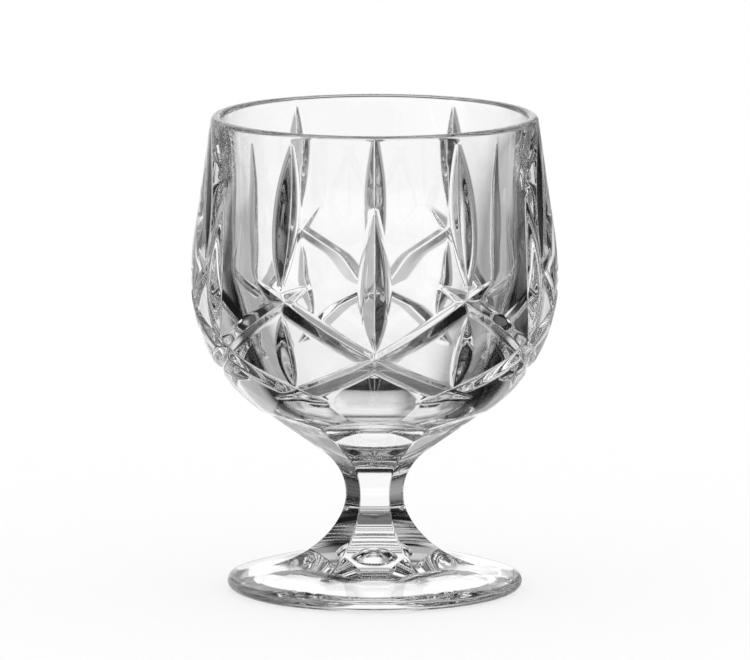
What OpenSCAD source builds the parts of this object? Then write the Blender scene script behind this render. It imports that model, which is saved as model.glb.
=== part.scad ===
// Cut glass brandy snifter: a bowl, a stem and a foot, in millimetres, standing on z = 0.
// The front, az = 0, faces -Y. Every cut repeats six times round the axis.

/* [Overall] */
// Height of the leg, from the table to the joint of stem and bowl
leg_height = 29.7; // [27:0.1:32]
// Height of the bowl, from that joint to the rim
bowl_height = 80.3; // [74:0.1:86]

/* [Bowl outside] */
// Widest outside radius of the bowl
belly_radius = 42.3; // [40:0.1:44.5]
// Height of the widest outside circle over the joint, as a share of the bowl height
belly_height_share = 0.5274; // [0.515:0.001:0.54]
// Radius of the long arc that leads from the belly up to the mouth
side_arc = 78; // [65:1:95]
// Radius of the arc under the belly, as a share of the bowl height
cup_arc_share = 0.4558; // [0.452:0.001:0.46]
// Inward lean of the straight wall under the rim, in degrees
mouth_lean = 8.4; // [6:0.1:10]
// Slope of the outside under the cup, in degrees from upright
cup_lean = 52; // [51:0.1:53]

/* [Bowl inside] */
// Thickness of the glass at the rim
rim_wall = 2.4; // [1.8:0.1:3]
// Outward flare of the inside under the rim, in degrees
mouth_flare = 4; // [3:0.1:5]
// Height at which the flare starts over the joint, as a share of the bowl height
flare_share = 0.786; // [0.76:0.002:0.81]
// Draft of the inside wall under the flare, in degrees
wall_draft = 1.2; // [0.8:0.1:1.6]
// Height of the level at which the inside would stand upright, as a share of the bowl height
inner_belly_share = 0.6015; // [0.59:0.0005:0.61]
// Radius of the arc under the inside wall
inner_side_arc = 44; // [41:0.5:47]
// Radius of the arc at the bottom of the inside
inner_cup_arc = 26; // [24:0.5:28]
// Height of the inside floor over the joint, as a share of the bowl height
floor_share = 0.178; // [0.17:0.001:0.19]

/* [Stem and foot] */
// Distance from the axis to a stem facet at the waist
waist_apothem = 5.8; // [5:0.1:6.5]
// Height of the waist, as a share of the leg height
waist_height_share = 0.741; // [0.72:0.001:0.76]
// Radius of the facet arc from the waist upward
upper_cove = 12.7; // [11.5:0.1:14]
// Radius of the facet arc from the waist down to the foot
lower_cove = 20.6; // [19.5:0.1:22]
// Turn of the upper cove before the lower one takes over, in degrees under the waist
cove_turn = 24; // [20:1:28]
// Slope of a facet where it leaves the foot arc, in degrees from upright
foot_lean = 80; // [78:0.5:81]
// Slope of a facet under the bowl, in degrees from upright
facet_lean = 51.3; // [49:0.1:52]
// Length of that straight run, as a share of the leg height
facet_run_share = 0.407; // [0.38:0.001:0.42]
// Radius of the flare at the top of a facet
flare_arc = 8; // [6:0.5:10]
// Slope of the flare where it meets the bowl, in degrees from upright
flare_lean = 69; // [66:0.5:72]
// Outside radius of the foot
foot_radius = 34.05; // [32:0.05:36]
// Radius of the rounded edge of the foot
foot_edge = 1.7; // [1.4:0.1:2]
// Slope of the margin between the facets and the edge of the foot, in degrees
margin_slope = 27; // [24:0.5:30]
// Radius of the shallow dish under the foot, as a share of the foot radius
dish_share = 0.85; // [0.82:0.01:0.88]
// Rise of that dish
dish_rise = 3; // [2:0.1:3.5]
// Radius of the round hollow in the middle of the dish, as a share of the foot radius
hollow_share = 0.136; // [0.12:0.002:0.16]
// Rise of that hollow above the dish
hollow_rise = 3; // [2:0.1:3.5]
// Height of the joint of stem and foot, as a share of the leg height
foot_joint_share = 0.481; // [0.45:0.001:0.5]

/* [Cut pattern] */
// Half of the angle between the two faces of every cut, in degrees
mitre_half = 60; // [55:1:64]
// Lower end of the short lens cuts over the joint, as a share of the bowl height
short_low_share = 0.392; // [0.38:0.001:0.4]
// Upper end of the short lens cuts
short_high_share = 0.801; // [0.78:0.001:0.82]
// Depth of the short lens cuts
short_depth = 2.15; // [1.95:0.05:2.4]
// Lower end of the tall lens cuts, as a share of the bowl height
tall_low_share = 0.575; // [0.56:0.001:0.59]
// Upper end of the tall lens cuts
tall_high_share = 0.9726; // [0.96:0.001:0.975]
// Depth of the tall lens cuts
tall_depth = 2; // [1.6:0.05:2.1]
// Lower end of the lens cuts inside the diamonds, as a share of the bowl height
diamond_low_share = 0.271; // [0.265:0.001:0.28]
// Upper end of the lens cuts inside the diamonds
diamond_high_share = 0.475; // [0.465:0.001:0.485]
// Depth of the lens cuts inside the diamonds
diamond_depth = 1.4; // [1.2:0.05:1.7]
// Height of the upper crossings of the long grooves over the joint, as a share of the bowl height
upper_cross_share = 0.5255; // [0.52:0.0005:0.53]
// Height of the middle crossings
middle_cross_share = 0.3586; // [0.354:0.0002:0.363]
// Height of the lower crossings
lower_cross_share = 0.2503; // [0.246:0.0001:0.255]
// Depth of the long grooves
groove_depth = 1.15; // [0.95:0.05:1.4]
// How much deeper the grooves of the second hand run, so that they cut clean through the first
second_depth = 0.06; // [0.04:0.01:0.1]
// Length of the straight run-out at each end of a groove
run_out = 14; // [13:0.5:16]
// How far before the end crossing a run-out starts
run_lead = 2; // [1.5:0.1:3]

/* [Clearances] */
// How far a cutter reaches past the glass
overrun = 3; // [2:0.5:4]
// How far two arcs lap where one takes over from the other
arc_lap = 0.002; // [0.001:0.001:0.005]
// How far the run-outs cut under the end of the groove
run_lap = 0.04; // [0.03:0.005:0.06]

/* [Hidden] */
$fn = 96;

// Facets round the stem, and repeats of the cut pattern
sides = 6;
turn = 360 / sides;

// Shares that only the construction needs: where its straight cores stand inside the arcs
core_share = 0.1;
neck_share = 0.75;

// Heights that the shares give
function over_joint(share) = leg_height + bowl_height * share;
glass_height = leg_height + bowl_height;
belly_z = over_joint(belly_height_share);
inner_belly_z = over_joint(inner_belly_share);
floor_z = over_joint(floor_share);
waist_z = leg_height * waist_height_share;
foot_joint_z = leg_height * foot_joint_share;
cup_arc = bowl_height * cup_arc_share;
facet_run = leg_height * facet_run_share;

// Outside of the bowl: where its arcs start and end
side_top_z = belly_z + side_arc * sin(mouth_lean);
side_top_r = belly_radius - side_arc * (1 - cos(mouth_lean));
rim_r = side_top_r - (glass_height - side_top_z) * tan(mouth_lean);
cup_end_z = belly_z - cup_arc * sin(cup_lean);
cup_end_r = belly_radius - cup_arc * (1 - cos(cup_lean));

// Inside of the bowl, laid out from the rim down
inner_rim_r = rim_r - rim_wall;
flare_z = over_joint(flare_share);
flare_r = inner_rim_r - (glass_height - flare_z) * tan(mouth_flare);
draft_z = inner_belly_z - inner_side_arc * sin(wall_draft);
draft_r = flare_r - (flare_z - draft_z) * tan(wall_draft);
inner_hub_r = draft_r - inner_side_arc * cos(wall_draft);
inner_turn = asin((inner_belly_z - floor_z - inner_cup_arc) / (inner_side_arc - inner_cup_arc));
inner_cup_r = inner_hub_r + (inner_side_arc - inner_cup_arc) * cos(inner_turn);
inner_cup_z = floor_z + inner_cup_arc;
inner_turn_z = inner_cup_z - inner_cup_arc * sin(inner_turn);

// Rounded lip: the circle that touches both walls and the height
lip = rim_wall / (1 / cos(mouth_lean) + 1 / cos(mouth_flare) - tan(mouth_lean) - tan(mouth_flare));
lip_z = glass_height - lip;
lip_r = rim_r + lip * tan(mouth_lean) - lip / cos(mouth_lean);

// Facets of the stem, in the plane through the axis and the middle of a facet
cove_r = waist_apothem + upper_cove;
low_r = cove_r + (lower_cove - upper_cove) * cos(cove_turn);
low_z = waist_z + (lower_cove - upper_cove) * sin(cove_turn);
run_start = [cove_r - upper_cove * cos(facet_lean), waist_z + upper_cove * sin(facet_lean)];
run_end = run_start + facet_run * [sin(facet_lean), cos(facet_lean)];
flare = run_end + flare_arc * [cos(facet_lean), -sin(facet_lean)];
flare_end = flare + flare_arc * [-cos(flare_lean), sin(flare_lean)];
foot_start = [low_r - lower_cove * cos(foot_lean), low_z - lower_cove * sin(foot_lean)];
reach = belly_radius + foot_radius;
core_r = belly_radius * core_share;
neck_r = cup_end_r * neck_share;

// Radius of the outside of the bowl at a height, and how far its face looks up from level
function outer_r(z) =
    z > side_top_z ? side_top_r - (z - side_top_z) * tan(mouth_lean)
    : z > belly_z ? belly_radius - side_arc + sqrt(side_arc * side_arc - pow(z - belly_z, 2))
    : belly_radius - cup_arc + sqrt(cup_arc * cup_arc - pow(z - belly_z, 2));
function outer_lean(z) =
    z > side_top_z ? mouth_lean : asin((z - belly_z) / (z > belly_z ? side_arc : cup_arc));

// Point at a depth under the outside, in the plane through the axis, and turned to an azimuth
function sunk(z, depth) = [outer_r(z) - depth * cos(outer_lean(z)), z - depth * sin(outer_lean(z))];
function placed(p, az) = [p[0] * sin(az), -p[0] * cos(az), p[1]];
function unit(v) = v / norm(v);

// Centre of the circle through three points in space
function centre_of(a, b, c) =
    let (p = a - c, q = b - c, n = cross(p, q))
    c + cross((p * p) * q - (q * q) * p, n) / (2 * (n * n));

// Part of a disc between two heights, right of the line from which it is measured
module band(at, radius, low, high) {
    intersection() {
        translate(at)
            circle(radius);
        translate([core_r, low])
            square([reach, high - low]);
    }
}

// Half section of the outside of the bowl: a straight-sided core, and an arc on each of its long sides
module outside_section() {
    polygon([
        [0, leg_height],
        [neck_r, leg_height],
        [neck_r, cup_end_z - (cup_end_r - neck_r) / tan(cup_lean)],
        [cup_end_r, cup_end_z],
        [side_top_r, side_top_z],
        [rim_r, glass_height],
        [0, glass_height]
    ]);
    band([belly_radius - side_arc, belly_z], side_arc + arc_lap, belly_z, side_top_z + overrun);
    band([belly_radius - cup_arc, belly_z], cup_arc + 2 * arc_lap, cup_end_z - overrun, belly_z + overrun);
}

// Half section of the inside of the bowl, open past the rim
module inside_section() {
    polygon([
        [0, floor_z],
        [inner_cup_r, floor_z],
        [inner_cup_r + inner_cup_arc * cos(inner_turn), inner_turn_z],
        [draft_r, draft_z],
        [flare_r, flare_z],
        [inner_rim_r + overrun * tan(mouth_flare), glass_height + overrun],
        [0, glass_height + overrun]
    ]);
    band([inner_hub_r, inner_belly_z], inner_side_arc + arc_lap, inner_turn_z, draft_z + overrun);
    band([inner_cup_r, inner_cup_z], inner_cup_arc + 2 * arc_lap, floor_z, inner_turn_z + overrun);
}

// Half section of the wall, with its rounded lip
module wall_section() {
    outer_touch = [lip_r + lip * cos(mouth_lean), lip_z + lip * sin(mouth_lean)];
    inner_touch = [lip_r - lip * cos(mouth_flare), lip_z + lip * sin(mouth_flare)];
    slope = (outer_touch[1] - inner_touch[1]) / (outer_touch[0] - inner_touch[0]);
    intersection() {
        difference() {
            outside_section();
            inside_section();
        }
        polygon([
            [-overrun, 0],
            [reach, 0],
            [reach, inner_touch[1] + slope * (reach - inner_touch[0])],
            [-overrun, inner_touch[1] - slope * (inner_touch[0] + overrun)]
        ]);
    }
    translate([lip_r, lip_z - arc_lap])
        circle(lip + arc_lap);
}

// Arcs and straights that bound the space beside one facet, between the foot and the bowl
module ground_pieces() {
    translate([cove_r, waist_z])
        circle(upper_cove + 2 * arc_lap);
    translate(flare)
        circle(flare_arc + arc_lap);
    intersection() {
        translate([low_r, low_z])
            circle(lower_cove + arc_lap);
        polygon([
            [low_r, low_z],
            [low_r, low_z] - 2 * lower_cove * [cos(cove_turn), sin(cove_turn)],
            [low_r - lower_cove, low_z - 2 * lower_cove],
            [low_r, low_z - 2 * lower_cove]
        ]);
    }
    polygon([
        run_start,
        run_end,
        flare_end,
        flare_end + (reach - flare_end[0]) * [1, 1 / tan(flare_lean)],
        foot_start + (reach - foot_start[0]) * [1, -1 / tan(foot_lean)],
        foot_start,
        [cove_r, waist_z]
    ]);
}

// That space as one outline: what is left of a block when all that isn't the space is off it
module ground_section() {
    difference() {
        ground_block();
        difference() {
            ground_block();
            ground_pieces();
        }
    }
}

module ground_block() {
    translate([0, -glass_height])
        square([reach, 3 * glass_height]);
}

// Grinding of all the facets round the stem, the foot and the base of the bowl
module facet_cuts() {
    for (i = [0 : sides - 1])
        rotate([90, 0, turn * i - 90])
            linear_extrude(height = 2 * reach, center = true)
                ground_section();
}

// Wheel with a mitred rim that cuts a lens along the bowl at an azimuth
module lens_cut(az, low_share, high_share, depth) {
    low = sunk(over_joint(low_share), 0);
    high = sunk(over_joint(high_share), 0);
    deep = sunk((low[1] + high[1]) / 2, depth);
    hub = centre_of([low[0], low[1], 0], [deep[0], deep[1], 0], [high[0], high[1], 0]);
    radius = norm([low[0] - hub[0], low[1] - hub[1]]);
    side = hub[0] > deep[0] ? -1 : 1;
    tall = depth + overrun;
    half_span = asin(norm(high - low) / 2 / radius) + 180 / PI * overrun / radius;
    aim = atan2(deep[1] - hub[1], deep[0] - hub[0]);
    rotate([0, 0, az - 90])
        translate([hub[0], 0, hub[1]])
            rotate([90, 0, 0])
                rotate([0, 0, aim - half_span])
                    rotate_extrude(angle = 2 * half_span)
                        polygon([
                            [radius, 0],
                            [radius + side * tall, tall * tan(mitre_half)],
                            [radius + side * tall, -tall * tan(mitre_half)]
                        ]);
}

// Long groove through an upper, a middle and a lower crossing, with a straight run-out at each end
module groove_cut(depth) {
    half_turn = turn / 2;
    middle_z = over_joint(middle_cross_share);
    upper = placed(sunk(over_joint(upper_cross_share), depth), -half_turn);
    middle = placed(sunk(middle_z, depth), 0);
    lower = placed(sunk(over_joint(lower_cross_share), depth), half_turn);
    hub = centre_of(upper, middle, lower);
    radius = norm(middle - hub);
    u = (middle - hub) / radius;
    n = unit(cross(upper - middle, lower - middle));
    v = cross(n, u);
    face = placed([cos(outer_lean(middle_z)), sin(outer_lean(middle_z))], 0);
    lean = asin(face * n);
    lead = 180 / PI * run_lead / radius;
    start = lead - acos((lower - hub) * u / radius);
    end = acos((upper - hub) * u / radius) - lead;
    multmatrix([
        [u[0], v[0], n[0], hub[0]],
        [u[1], v[1], n[1], hub[1]],
        [u[2], v[2], n[2], hub[2]],
        [0, 0, 0, 1]
    ]) {
        rotate([0, 0, start])
            rotate_extrude(angle = end - start)
                mitre_section(radius, lean, depth);
        rotate([0, 0, end])
            rotate([90, 0, 0])
                mirror([0, 0, 1])
                    translate([0, 0, -overrun])
                        linear_extrude(height = run_out + overrun)
                            mitre_section(radius - run_lap, lean, depth);
        rotate([0, 0, start])
            rotate([90, 0, 0])
                translate([0, 0, -overrun])
                    linear_extrude(height = run_out + overrun)
                        mitre_section(radius - run_lap, lean, depth);
    }
}

// Section of a groove cutter: its point at a radius, its two faces leaning with the glass
module mitre_section(radius, lean, depth) {
    length = (depth + overrun) / cos(mitre_half);
    polygon([
        [radius, 0],
        [radius + length * cos(lean + mitre_half), length * sin(lean + mitre_half)],
        [radius + length * cos(lean - mitre_half), length * sin(lean - mitre_half)]
    ]);
}

// The blank of the bowl: the wall turned, and its base ground to facets
module bowl_blank() {
    difference() {
        rotate([0, 0, turn / 4])
            rotate_extrude()
                wall_section();
        facet_cuts();
    }
}

// The blank with its long grooves, cut two by two round the bowl as the wheel would
module grooved(last) {
    difference() {
        if (last > 0)
            grooved(last - 1);
        else
            bowl_blank();
        rotate([0, 0, turn * last])
            groove_cut(groove_depth);
        rotate([0, 0, turn * last])
            mirror([1, 0, 0])
                groove_cut(groove_depth + second_depth);
    }
}

// The bowl: the grooved blank with the three rounds of lens cuts
module bowl() {
    color([0.86, 0.9, 0.92, 0.5])
        difference() {
            grooved(sides - 1);
            for (i = [0 : sides - 1]) {
                lens_cut(turn * i, short_low_share, short_high_share, short_depth);
                lens_cut(turn * i + turn / 2, tall_low_share, tall_high_share, tall_depth);
                lens_cut(turn * i + turn / 2, diamond_low_share, diamond_high_share, diamond_depth);
            }
        }
}

// The stem: a post ground to the waist of the facets
module stem() {
    color([0.8, 0.85, 0.88, 0.5])
        difference() {
            translate([0, 0, foot_joint_z])
                cylinder(h = leg_height - foot_joint_z, r = foot_radius);
            facet_cuts();
        }
}

// Radius of the ball whose cap has the given radius and rise
function cap_ball(r, rise) = (r * r + rise * rise) / (2 * rise);

// A round hollow of the given radius and rise, open below
module round_hollow(r, rise) {
    translate([0, 0, rise - cap_ball(r, rise)])
        sphere(cap_ball(r, rise));
}

// The foot: a round plate with a rounded edge, ground to facets, dished and hollowed underneath
module foot() {
    edge_r = foot_radius - foot_edge;
    margin_r = edge_r + foot_edge * sin(margin_slope);
    margin_z = foot_edge * (1 + cos(margin_slope));
    hollow_r = foot_radius * hollow_share;
    dish_r = foot_radius * dish_share;
    dish_ball = cap_ball(dish_r, dish_rise);
    hollow_z = dish_rise - dish_ball + sqrt(dish_ball * dish_ball - hollow_r * hollow_r);
    color([0.83, 0.87, 0.9, 0.5])
        difference() {
            rotate_extrude()
                intersection() {
                    union() {
                        polygon([
                            [0, -overrun],
                            [edge_r, -overrun],
                            [edge_r, foot_edge],
                            [margin_r, margin_z],
                            [0, margin_z + margin_r * tan(margin_slope)]
                        ]);
                        translate([edge_r, foot_edge])
                            circle(foot_edge + arc_lap);
                    }
                    square([reach, foot_joint_z]);
                }
            facet_cuts();
            round_hollow(dish_r, dish_rise);
            translate([0, 0, hollow_z])
                round_hollow(hollow_r, hollow_rise);
        }
}

bowl();
stem();
foot();
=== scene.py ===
"""Cut glass brandy snifter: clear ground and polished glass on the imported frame, in a studio of lit panels."""

import logging
import math
from dataclasses import dataclass, field
from enum import Enum
from typing import Callable, Sequence

import bmesh
import bpy
import numpy as np
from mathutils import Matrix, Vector
from mathutils.geometry import delaunay_2d_cdt


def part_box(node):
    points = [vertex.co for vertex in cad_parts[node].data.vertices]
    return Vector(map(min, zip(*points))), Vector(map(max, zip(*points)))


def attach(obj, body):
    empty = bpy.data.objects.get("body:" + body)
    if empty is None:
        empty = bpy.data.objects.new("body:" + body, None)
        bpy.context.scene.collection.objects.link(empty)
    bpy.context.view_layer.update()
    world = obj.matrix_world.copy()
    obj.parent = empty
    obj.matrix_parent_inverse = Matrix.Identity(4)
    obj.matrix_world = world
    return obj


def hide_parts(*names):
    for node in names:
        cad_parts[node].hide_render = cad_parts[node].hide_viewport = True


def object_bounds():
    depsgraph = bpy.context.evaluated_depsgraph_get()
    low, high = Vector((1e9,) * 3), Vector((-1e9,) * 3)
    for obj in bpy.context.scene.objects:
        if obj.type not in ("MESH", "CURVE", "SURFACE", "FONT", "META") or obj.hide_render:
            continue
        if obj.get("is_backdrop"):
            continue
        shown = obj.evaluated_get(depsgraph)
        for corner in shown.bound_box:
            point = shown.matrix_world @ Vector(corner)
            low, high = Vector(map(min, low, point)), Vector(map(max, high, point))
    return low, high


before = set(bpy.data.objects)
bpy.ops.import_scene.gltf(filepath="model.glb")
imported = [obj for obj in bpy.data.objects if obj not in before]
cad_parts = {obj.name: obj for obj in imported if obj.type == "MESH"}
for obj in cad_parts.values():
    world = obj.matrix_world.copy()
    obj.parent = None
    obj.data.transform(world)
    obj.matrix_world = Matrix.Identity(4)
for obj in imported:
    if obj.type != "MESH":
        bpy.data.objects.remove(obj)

MM = 0.001
WELD = 0.002 * MM
TINY = 1e-12
BOUNCES = 24
WHITE = (1.0, 1.0, 1.0, 1.0)
SIDES = 6
TURN = 2 * math.pi / SIDES
SECTOR = TURN / 2
# Azimuths of the mesh columns over half a facet, closer together towards its ridge
COLUMN_DEGREES = (0, 3, 6, 9, 12, 15, 18, 20.5, 22.5, 24, 25.2, 26.2, 27, 27.7, 28.3, 28.8, 29.2, 29.6, 30)
LOG = logging.getLogger("snifter")

Array = np.ndarray
Row = tuple[float, float, float]


class Hand(Enum):
    """Which way a long groove winds up the bowl."""

    PLAIN = 1
    MIRRORED = -1


def smooth_max(a: Array, b: Array, blend: float) -> Array:
    """The larger of two distances, with the crease between them rounded.

    Args:
        a: Signed distances to one surface.
        b: Signed distances to the other surface.
        blend: Difference of the two under which the crease is rounded.

    Returns:
        The rounded larger distance.
    """
    near = np.maximum(blend - np.abs(a - b), 0.0) / blend
    return np.maximum(a, b) + near * near * blend / 4


def turned(radius: Array, azimuth: Array, height: Array) -> Array:
    """Points in space from cylinder coordinates; azimuth 0 is the front, which faces -Y."""
    radius, azimuth, height = np.broadcast_arrays(radius, azimuth, height)
    return np.stack([radius * np.sin(azimuth), -radius * np.cos(azimuth), height], axis=-1)


def swung(p: Array, c: Array | float, s: Array | float) -> Array:
    """Points or directions turned about the axis, by an angle that is given by its cosine and sine."""
    return np.stack([p[..., 0] * c - p[..., 1] * s, p[..., 0] * s + p[..., 1] * c, p[..., 2]], axis=-1)


def bisect(low: Array, high: Array, inside: Callable[[Array], Array], steps: int = 36) -> Array:
    """Where a test turns from false to true between two bounds.

    Args:
        low: Values at which the test is false.
        high: Values at which the test is true.
        inside: The test, on an array of values.
        steps: Number of halvings.

    Returns:
        The turning values.
    """
    for _ in range(steps):
        middle = (low + high) / 2
        hit = inside(middle)
        high = np.where(hit, middle, high)
        low = np.where(hit, low, middle)
    return (low + high) / 2


@dataclass
class BowlWall:
    """Turned wall of the bowl: its outside, its rounded lip and its inside."""

    joint_z: float
    tall: float
    belly_radius: float = 42.3 * MM
    belly_share: float = 0.5274
    side_arc: float = 78 * MM
    cup_share: float = 0.4558
    mouth_lean: float = math.radians(8.4)
    cup_lean: float = math.radians(52)
    rim_wall: float = 2.4 * MM
    mouth_flare: float = math.radians(4)
    flare_share: float = 0.786
    wall_draft: float = math.radians(1.2)
    inner_belly_share: float = 0.6015
    inner_side_arc: float = 44 * MM
    inner_cup_arc: float = 21.5 * MM
    floor_share: float = 0.15
    flare_ease: float = 200 * MM

    def __post_init__(self) -> None:
        """Works out where the arcs start and end."""
        self.height = self.joint_z + self.tall
        self.belly_z = self.over_joint(self.belly_share)
        self.cup_arc = self.tall * self.cup_share
        self.side_top_z = self.belly_z + self.side_arc * math.sin(self.mouth_lean)
        self.side_top_r = self.belly_radius - self.side_arc * (1 - math.cos(self.mouth_lean))
        self.rim_r = self.side_top_r - (self.height - self.side_top_z) * math.tan(self.mouth_lean)
        self.cup_end_z = self.belly_z - self.cup_arc * math.sin(self.cup_lean)
        self.cup_end_r = self.belly_radius - self.cup_arc * (1 - math.cos(self.cup_lean))
        lean_sum = 1 / math.cos(self.mouth_lean) + 1 / math.cos(self.mouth_flare)
        self.lip = self.rim_wall / (lean_sum - math.tan(self.mouth_lean) - math.tan(self.mouth_flare))
        self.lip_z = self.height - self.lip
        self.lip_r = self.rim_r + self.lip * math.tan(self.mouth_lean) - self.lip / math.cos(self.mouth_lean)
        self.top_z = self.lip_z + self.lip * math.sin(self.mouth_lean)

    def over_joint(self, share: float) -> float:
        """Height of a share of the bowl over the joint with the stem."""
        return self.joint_z + self.tall * share

    def radius(self, z: Array) -> Array:
        """Outside radius at each height.

        Args:
            z: Heights.

        Returns:
            The radii.
        """
        side = self.belly_radius - self.side_arc + np.sqrt(
            np.maximum(self.side_arc ** 2 - (z - self.belly_z) ** 2, 0.0))
        cup = self.belly_radius - self.cup_arc + np.sqrt(
            np.maximum(self.cup_arc ** 2 - (z - self.belly_z) ** 2, 0.0))
        mouth = self.side_top_r - (z - self.side_top_z) * math.tan(self.mouth_lean)
        cone = self.cup_end_r - (self.cup_end_z - z) * math.tan(self.cup_lean)
        return np.where(z > self.side_top_z, mouth,
                        np.where(z > self.belly_z, side, np.where(z > self.cup_end_z, cup, cone)))

    def lean(self, z: Array) -> Array:
        """How far the outside looks up from level at each height."""
        arc = np.where(z > self.belly_z, self.side_arc, self.cup_arc)
        return np.clip(np.arcsin(np.clip((z - self.belly_z) / arc, -1, 1)), -self.cup_lean, self.mouth_lean)

    def foot_of_normal(self, r: Array, z: Array) -> Array:
        """Height at which the normal through a point meets the outside.

        Args:
            r: Distances of the points from the axis.
            z: Their heights.

        Returns:
            The heights on the outside.
        """
        side = np.arctan2(z - self.belly_z, r - self.belly_radius + self.side_arc)
        cup = np.arctan2(z - self.belly_z, r - self.belly_radius + self.cup_arc)
        angle = np.where(z > self.belly_z, side, cup)
        arc = np.where(z > self.belly_z, self.side_arc, self.cup_arc)
        on_arc = self.belly_z + arc * np.sin(angle)
        mouth = ((r - self.side_top_r) * -math.sin(self.mouth_lean)
                 + (z - self.side_top_z) * math.cos(self.mouth_lean))
        cone = ((r - self.cup_end_r) * math.sin(self.cup_lean)
                + (z - self.cup_end_z) * math.cos(self.cup_lean))
        on_mouth = self.side_top_z + mouth * math.cos(self.mouth_lean)
        on_cone = self.cup_end_z + cone * math.cos(self.cup_lean)
        return np.where(angle > self.mouth_lean, on_mouth, np.where(angle < -self.cup_lean, on_cone, on_arc))

    def distance(self, p: Array) -> Array:
        """Signed distance of points to the turned outside.

        Args:
            p: The points.

        Returns:
            The distances, negative in the glass.
        """
        r, z = np.hypot(p[..., 0], p[..., 1]), p[..., 2]
        foot = self.foot_of_normal(r, z)
        lean = self.lean(foot)
        return (r - self.radius(foot)) * np.cos(lean) + (z - foot) * np.sin(lean)

    def inside_rows(self, step: float, lip_steps: int) -> Array:
        """Half section from the outer edge of the lip over the rim and down to the middle of the floor.

        Args:
            step: Length of one segment on the walls.
            lip_steps: Number of segments round the lip.

        Returns:
            Radius and height of each row, and the angle by which its face looks up from the level line
            to the axis.
        """
        flare, draft = self.mouth_flare, self.wall_draft
        floor_z, belly_z = self.over_joint(self.floor_share), self.over_joint(self.inner_belly_share)
        corner_z = self.over_joint(self.flare_share)
        corner_r = self.rim_r - self.rim_wall - (self.height - corner_z) * math.tan(flare)
        draft_z = belly_z - self.inner_side_arc * math.sin(draft)
        draft_r = corner_r - (corner_z - draft_z) * math.tan(draft)
        gap = self.inner_side_arc - self.inner_cup_arc
        turn = math.asin((belly_z - floor_z - self.inner_cup_arc) / gap)
        hub = np.array([draft_r - self.inner_side_arc * math.cos(draft), belly_z])
        cup = np.array([hub[0] + gap * math.cos(turn), floor_z + self.inner_cup_arc])
        ease = self.flare_ease * math.tan((flare - draft) / 2)
        bend = np.array([corner_r, corner_z]) + ease * np.array([math.sin(flare), math.cos(flare)])
        bend += self.flare_ease * np.array([math.cos(flare), -math.sin(flare)])
        lip = np.array([self.lip_r, self.lip_z])
        rows: list[Row] = []

        def arc(centre: Array, radius: float, first: float, last: float, steps: int) -> None:
            """Adds rows round a centre.

            Args:
                centre: Radius and height of the centre.
                radius: Radius of the arc, negative for a centre in the glass.
                first: Angle of the first row.
                last: Angle of the last row.
                steps: Number of segments.
            """
            for angle in np.linspace(first, last, max(2, steps + 1)):
                r, z = centre[0] + radius * math.cos(angle), centre[1] - radius * math.sin(angle)
                rows.append((r, z, angle))

        arc(lip, -self.lip, math.pi - self.mouth_lean, flare, lip_steps)
        arc(bend, -self.flare_ease, flare, draft, round((flare - draft) * self.flare_ease / step))
        arc(hub, self.inner_side_arc, draft, turn, round((turn - draft) * self.inner_side_arc / step))
        cup_steps = round((math.pi / 2 - turn) * self.inner_cup_arc / step)
        arc(cup, self.inner_cup_arc, turn, math.pi / 2, cup_steps)
        rows.append((0.0, floor_z, math.pi / 2))
        filled = [rows[0]]
        for row in rows[1:]:
            last = filled[-1]
            length = math.hypot(row[0] - last[0], row[1] - last[1])
            if length < WELD:
                continue
            parts = max(1, round(length / step))
            start, way = np.array(last), np.array(row) - np.array(last)
            filled += [tuple(start + way * k / parts) for k in range(1, parts + 1)]
        return np.array(filled)


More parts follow.
